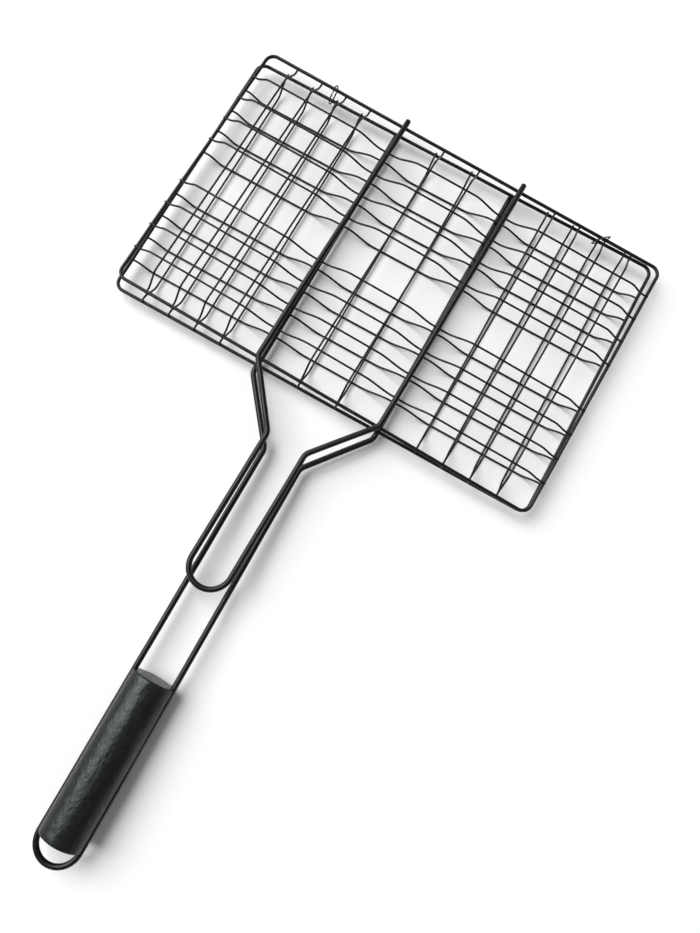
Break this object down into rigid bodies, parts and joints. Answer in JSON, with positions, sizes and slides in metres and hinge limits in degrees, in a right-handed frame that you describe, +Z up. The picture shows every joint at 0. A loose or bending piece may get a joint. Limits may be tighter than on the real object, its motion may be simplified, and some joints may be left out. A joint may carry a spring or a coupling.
{
  "type": "grill basket",
  "caption": "Hinged wire basket that clamps food between two bulged grids over a grill, carried on a long wire handle with a wooden grip.",
  "frame": {"origin": "middle of the bounding box's underside, on the surface that the basket lies on", "axes": "+Y towards the hinge edge and -Y down the handle, +X along the basket's long side, +Z up"},
  "size_m": [0.3674, 0.607, 0.031],
  "materials": {
    "black_enamel": "satin black coating on steel wire",
    "ring_steel": "dark bare steel wire",
    "grip_wood": "satin black painted wood"
  },
  "bodies": {
    "base": {"grip": "grip_wood", "handle_wire": "black_enamel", "lower_cross_wire_1": "black_enamel", "lower_cross_wire_10": "black_enamel", "lower_cross_wire_2": "black_enamel", "lower_cross_wire_3": "black_enamel", "lower_cross_wire_4": "black_enamel", "lower_cross_wire_5": "black_enamel", "lower_cross_wire_6": "black_enamel", "lower_cross_wire_7": "black_enamel", "lower_cross_wire_8": "black_enamel", "lower_cross_wire_9": "black_enamel", "lower_frame": "black_enamel", "lower_long_wire_1": "black_enamel", "lower_long_wire_2": "black_enamel", "lower_long_wire_3": "black_enamel", "lower_long_wire_4": "black_enamel", "lower_long_wire_5": "black_enamel", "lower_long_wire_6": "black_enamel", "lower_long_wire_7": "black_enamel", "lower_long_wire_8": "black_enamel"},
    "hinge_rings": {"hinge_ring_left": "ring_steel", "hinge_ring_right": "ring_steel"},
    "lid": {"catch_loop": "black_enamel", "upper_cross_wire_1": "black_enamel", "upper_cross_wire_10": "black_enamel", "upper_cross_wire_2": "black_enamel", "upper_cross_wire_3": "black_enamel", "upper_cross_wire_4": "black_enamel", "upper_cross_wire_5": "black_enamel", "upper_cross_wire_6": "black_enamel", "upper_cross_wire_7": "black_enamel", "upper_cross_wire_8": "black_enamel", "upper_cross_wire_9": "black_enamel", "upper_frame": "black_enamel", "upper_long_wire_1": "black_enamel", "upper_long_wire_2": "black_enamel", "upper_long_wire_3": "black_enamel", "upper_long_wire_4": "black_enamel", "upper_long_wire_5": "black_enamel", "upper_long_wire_6": "black_enamel", "upper_long_wire_7": "black_enamel", "upper_long_wire_8": "black_enamel"}
  },
  "joints": [
    {"name": "ring_swing", "type": "hinge", "parent": "base", "child": "hinge_rings", "pos_m": [-0.0024, 0.29391, 0.00936], "axis": [-1, 0, 0], "range_deg": [0, 70]},
    {"name": "lid_swing", "type": "hinge", "parent": "hinge_rings", "child": "lid", "pos_m": [0.00266, 0.29698, 0.01593], "axis": [-0.9997, 0.0237, 0], "range_deg": [0, 98]}
  ],
  "couplings": [
    {"joint": "ring_swing", "follows": "lid_swing", "ratio": 0.71428}
  ]
}
